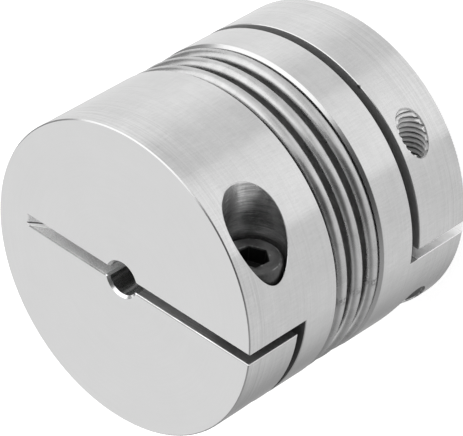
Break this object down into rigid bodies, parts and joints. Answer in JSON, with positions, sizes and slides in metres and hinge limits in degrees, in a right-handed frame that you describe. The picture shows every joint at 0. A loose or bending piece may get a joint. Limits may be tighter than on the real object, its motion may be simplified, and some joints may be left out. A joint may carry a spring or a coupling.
{
  "type": "bellows coupling",
  "caption": "Flexible shaft coupling: two slit clamp hubs with cross screws, joined by a thin-walled metal bellows.",
  "frame": {"origin": "on the shaft axis, at the lower hub's end face, which the coupling stands on", "axes": "+Z along the shaft axis to the upper hub, +X out of the mouths of the clamp slits, +Y to the head of the upper clamp screw"},
  "size_m": [0.056, 0.056, 0.053],
  "materials": {
    "hub_aluminium": "fine turned and milled",
    "bellows_steel": "bright formed stainless sheet",
    "screw_steel": "black oxide"
  },
  "bodies": {
    "lower_end": {"lower_hub": "hub_aluminium", "lower_clamp_screw": "screw_steel"},
    "bellows_middle": {"bellows": "bellows_steel"},
    "upper_end": {"upper_hub": "hub_aluminium", "upper_clamp_screw": "screw_steel"}
  },
  "joints": [
    {"name": "bend_about_x", "type": "hinge", "parent": "lower_end", "child": "bellows_middle", "pos_m": [0, 0, 0.0263], "axis": [1, 0, 0], "range_deg": [-1, 1], "stiffness_Nm_per_rad": 5, "deforming": ["bellows"]},
    {"name": "bend_about_y", "type": "hinge", "parent": "bellows_middle", "child": "upper_end", "pos_m": [0, 0, 0.0263], "axis": [0, 1, 0], "range_deg": [-1, 1], "stiffness_Nm_per_rad": 5, "deforming": ["bellows"]}
  ]
}
